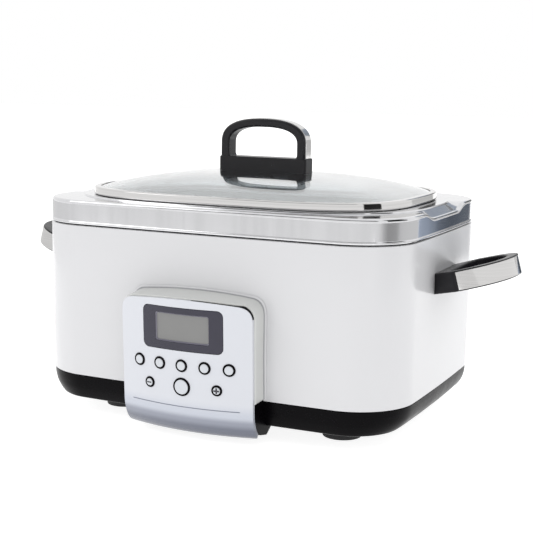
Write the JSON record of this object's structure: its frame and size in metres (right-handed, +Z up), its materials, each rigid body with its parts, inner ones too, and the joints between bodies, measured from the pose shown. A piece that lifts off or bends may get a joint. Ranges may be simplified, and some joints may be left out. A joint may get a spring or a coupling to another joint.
{
  "type": "slow cooker",
  "caption": "Countertop slow cooker: rounded rectangular body with a bowed control panel, side handles, a lift-out pot with a steel rim and a domed glass lid with a looped handle.",
  "frame": {"origin": "on the table under the middle of the overall length and depth", "axes": "+X along the long side, to the right when facing the control panel; -Y is the side with the control panel; +Z up"},
  "size_m": [0.4666, 0.2786, 0.2585],
  "materials": {
    "shell_enamel": "gloss white enamel",
    "panel_white": "gloss",
    "panel_silver": "gloss silver lacquer",
    "display_bezel": "gloss",
    "display_glass": "gloss",
    "button_caps": "satin",
    "black_plastic": "satin",
    "rubber": "matte",
    "polished_steel": "polished",
    "stamped_steel": "satin",
    "cast_aluminium": "as cast",
    "pot_coating": "light ceramic non-stick coating",
    "lid_glass": "clear, tempered",
    "circuit_board": "solder mask",
    "lead_sleeve": "matte"
  },
  "bodies": {
    "base": {"outer_shell": "shell_enamel", "panel_housing": "panel_white", "faceplate": "panel_silver", "display_frame": "display_bezel", "lcd_panel": "display_glass", "base_skirt": "black_plastic", "bottom_cover": "black_plastic", "cord_gland": "black_plastic", "rim_seat": "black_plastic", "panel_base": "black_plastic", "right_handle": "black_plastic", "left_handle": "black_plastic", "foot_rear_right": "rubber", "foot_rear_left": "rubber", "foot_front_left": "rubber", "foot_front_right": "rubber", "right_handle_strip": "polished_steel", "left_handle_strip": "polished_steel", "heater_well": "stamped_steel", "heat_shield": "stamped_steel", "sensor_bracket": "stamped_steel", "sensor_spring": "stamped_steel", "thermal_fuse": "stamped_steel", "fuse_clip": "stamped_steel", "base_screw_1": "stamped_steel", "base_screw_2": "stamped_steel", "base_screw_3": "stamped_steel", "base_screw_4": "stamped_steel", "panel_screw_1": "stamped_steel", "panel_screw_2": "stamped_steel", "right_handle_screw_1": "stamped_steel", "right_handle_screw_2": "stamped_steel", "left_handle_screw_1": "stamped_steel", "left_handle_screw_2": "stamped_steel", "heating_plate": "cast_aluminium", "side_heater": "cast_aluminium", "control_board": "circuit_board", "power_board": "circuit_board", "power_lead": "lead_sleeve", "heater_lead": "lead_sleeve", "panel_ribbon": "lead_sleeve"},
    "pot": {"pot_bowl": "pot_coating", "pot_rim": "polished_steel"},
    "lid": {"lid_glass": "lid_glass", "lid_band": "polished_steel", "lid_handle": "black_plastic", "lid_handle_strip": "polished_steel", "lid_washer_1": "rubber", "lid_washer_2": "rubber", "lid_screw_1": "stamped_steel", "lid_screw_2": "stamped_steel"},
    "function_button_1": {"function_button_1": "button_caps"},
    "function_button_2": {"function_button_2": "button_caps"},
    "function_button_3": {"function_button_3": "button_caps"},
    "function_button_4": {"function_button_4": "button_caps"},
    "function_button_5": {"function_button_5": "button_caps"},
    "minus_button": {"minus_button": "button_caps"},
    "start_button": {"start_button": "button_caps"},
    "plus_button": {"plus_button": "button_caps"},
    "sensor": {"temperature_sensor": "cast_aluminium"}
  },
  "joints": [
    {"name": "pot_lift", "type": "slide", "parent": "base", "child": "pot", "axis": [0, 0, 1], "range_m": [0, 0.15]},
    {"name": "lid_lift", "type": "slide", "parent": "pot", "child": "lid", "axis": [0, 0, 1], "range_m": [0, 0.15]},
    {"name": "function_button_1_press", "type": "slide", "parent": "base", "child": "function_button_1", "axis": [0.1902, 0.981, 0.0393], "range_m": [0, 0.001], "stiffness_N_per_m": 600},
    {"name": "function_button_2_press", "type": "slide", "parent": "base", "child": "function_button_2", "axis": [0.0964, 0.9945, 0.0398], "range_m": [0, 0.001], "stiffness_N_per_m": 600},
    {"name": "function_button_3_press", "type": "slide", "parent": "base", "child": "function_button_3", "axis": [0, 0.9992, 0.04], "range_m": [0, 0.001], "stiffness_N_per_m": 600},
    {"name": "function_button_4_press", "type": "slide", "parent": "base", "child": "function_button_4", "axis": [-0.0964, 0.9945, 0.0398], "range_m": [0, 0.001], "stiffness_N_per_m": 600},
    {"name": "function_button_5_press", "type": "slide", "parent": "base", "child": "function_button_5", "axis": [-0.1902, 0.981, 0.0393], "range_m": [0, 0.001], "stiffness_N_per_m": 600},
    {"name": "minus_button_press", "type": "slide", "parent": "base", "child": "minus_button", "axis": [0.1436, 0.9888, 0.0396], "range_m": [0, 0.001], "stiffness_N_per_m": 600},
    {"name": "start_button_press", "type": "slide", "parent": "base", "child": "start_button", "axis": [0, 0.9992, 0.04], "range_m": [0, 0.001], "stiffness_N_per_m": 600},
    {"name": "plus_button_press", "type": "slide", "parent": "base", "child": "plus_button", "axis": [-0.1436, 0.9888, 0.0396], "range_m": [0, 0.001], "stiffness_N_per_m": 600},
    {"name": "sensor_press", "type": "slide", "parent": "base", "child": "sensor", "axis": [0, 0, -1], "range_m": [0, 0.002], "stiffness_N_per_m": 300, "springref_m": -0.004, "deforming": ["sensor_spring"]}
  ]
}
